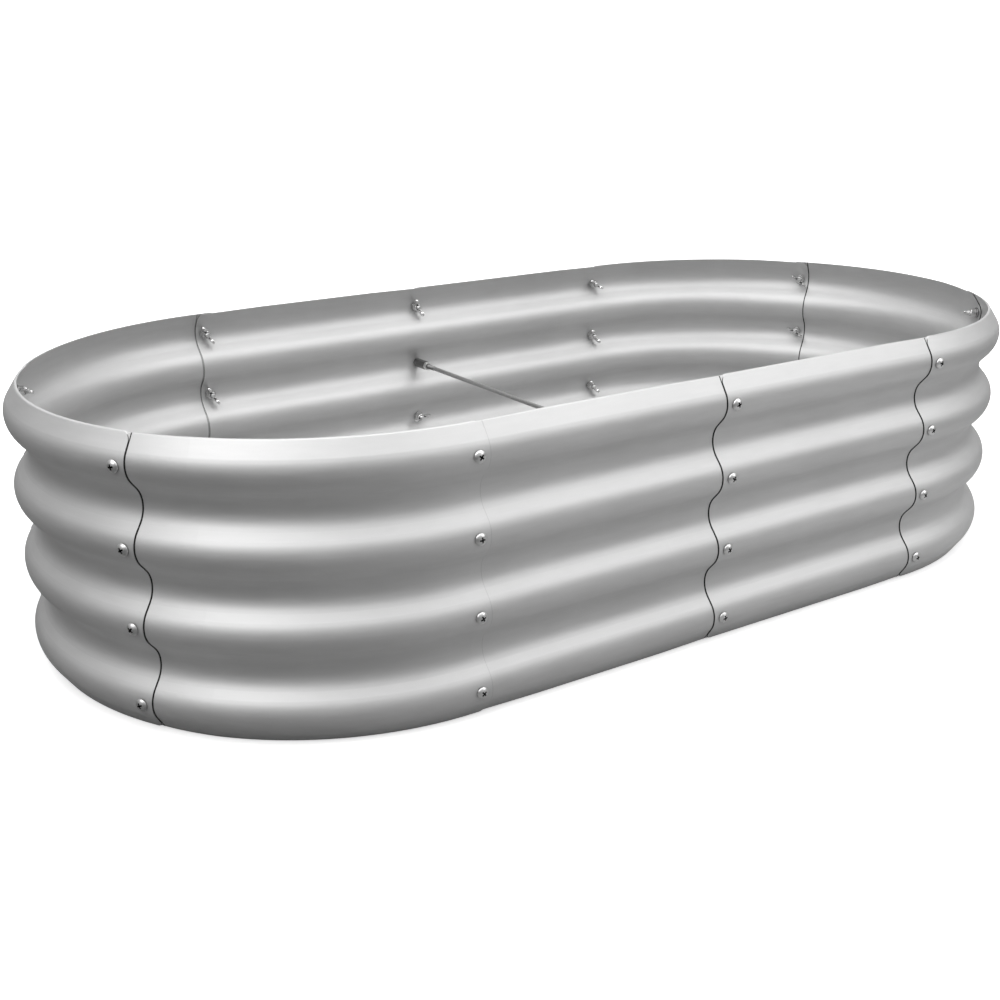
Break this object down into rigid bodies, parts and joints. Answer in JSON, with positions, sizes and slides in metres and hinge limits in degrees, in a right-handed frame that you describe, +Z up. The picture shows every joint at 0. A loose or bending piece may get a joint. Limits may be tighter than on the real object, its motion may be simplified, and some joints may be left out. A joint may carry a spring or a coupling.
{
  "type": "raised garden bed",
  "caption": "Oval open-bottomed raised garden bed of corrugated coated steel panels, lapped and bolted, with one cross brace.",
  "frame": {"origin": "centre of the ring on the ground", "axes": "+X along the bed, -Y towards the front long side, +Z up"},
  "size_m": [1.223, 0.631, 0.2837],
  "materials": {
    "coated_sheet": "satin",
    "zinc_screws": "satin",
    "zinc_wing_nuts": "satin",
    "zinc_washers": "satin",
    "dark_steel": "satin",
    "rod_steel": "satin"
  },
  "bodies": {
    "root": {"brace_coupling_nut_front": "dark_steel", "brace_coupling_nut_rear": "dark_steel", "brace_jam_nut_front": "zinc_screws", "brace_jam_nut_rear": "zinc_screws", "brace_rod": "rod_steel", "front_left_side_panel": "coated_sheet", "front_right_side_panel": "coated_sheet", "left_end_panel": "coated_sheet", "left_front_corner_panel": "coated_sheet", "left_rear_corner_panel": "coated_sheet", "rear_left_side_panel": "coated_sheet", "rear_right_side_panel": "coated_sheet", "right_end_panel": "coated_sheet", "right_front_corner_panel": "coated_sheet", "right_rear_corner_panel": "coated_sheet", "screws_front_left": "zinc_screws", "screws_front_middle": "zinc_screws", "screws_front_right": "zinc_screws", "screws_left_end_front": "zinc_screws", "screws_left_end_rear": "zinc_screws", "screws_rear_left": "zinc_screws", "screws_rear_middle": "zinc_screws", "screws_rear_right": "zinc_screws", "screws_right_end_front": "zinc_screws", "screws_right_end_rear": "zinc_screws", "washers_front_left": "zinc_washers", "washers_front_middle": "zinc_washers", "washers_front_right": "zinc_washers", "washers_left_end_front": "zinc_washers", "washers_left_end_rear": "zinc_washers", "washers_rear_left": "zinc_washers", "washers_rear_middle": "zinc_washers", "washers_rear_right": "zinc_washers", "washers_right_end_front": "zinc_washers", "washers_right_end_rear": "zinc_washers", "wing_nuts_front_left": "zinc_wing_nuts", "wing_nuts_front_middle": "zinc_wing_nuts", "wing_nuts_front_right": "zinc_wing_nuts", "wing_nuts_left_end_front": "zinc_wing_nuts", "wing_nuts_left_end_rear": "zinc_wing_nuts", "wing_nuts_rear_left": "zinc_wing_nuts", "wing_nuts_rear_middle": "zinc_wing_nuts", "wing_nuts_rear_right": "zinc_wing_nuts", "wing_nuts_right_end_front": "zinc_wing_nuts", "wing_nuts_right_end_rear": "zinc_wing_nuts"}
  },
  "joints": []
}
